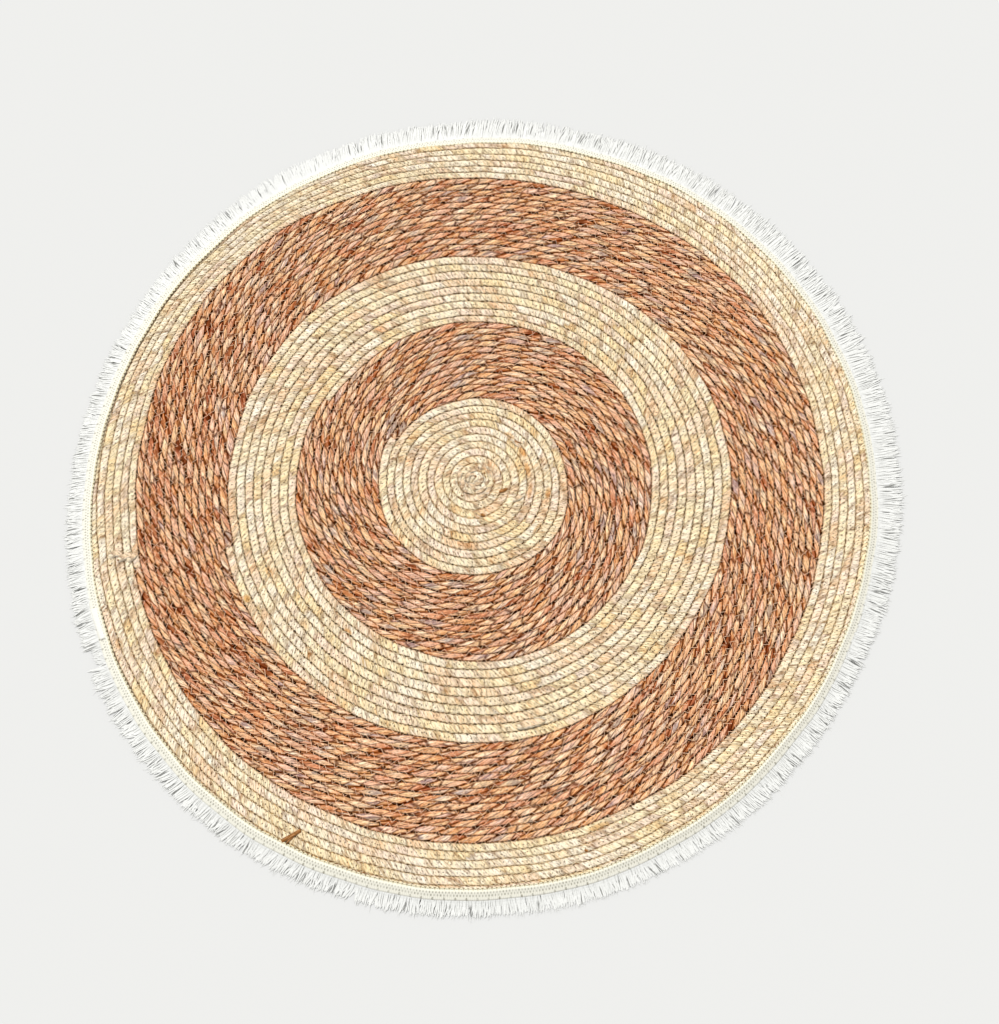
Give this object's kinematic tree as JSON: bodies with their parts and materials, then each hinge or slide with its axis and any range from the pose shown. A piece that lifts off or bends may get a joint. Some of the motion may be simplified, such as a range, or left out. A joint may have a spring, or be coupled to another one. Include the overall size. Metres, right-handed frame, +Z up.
{
  "type": "round rush rug",
  "caption": "Flat round floor rug wound from natural and brown rush rope in broad rings, sewn turn to turn, with a short white cotton fringe around its rim.",
  "frame": {"origin": "on the floor plane, under the middle of the rug", "axes": "+Z up from the floor, +X to the right and +Y to the far side as the rug is seen in the picture"},
  "size_m": [1.0027, 0.9992, 0.0106],
  "materials": {
    "natural_rush": "dry wrapped rush rope, cream to straw yellow, slight sheen",
    "brown_rush": "dry two-strand twisted rush rope, terracotta brown",
    "white_cotton": "soft white cotton tape and cut yarn, matt"
  },
  "bodies": {
    "root": {"centre_coil": "natural_rush", "inner_brown_coil": "brown_rush", "middle_cream_coil": "natural_rush", "outer_brown_coil": "brown_rush", "outer_cream_coil": "natural_rush", "fringe_tape": "white_cotton"}
  },
  "joints": []
}
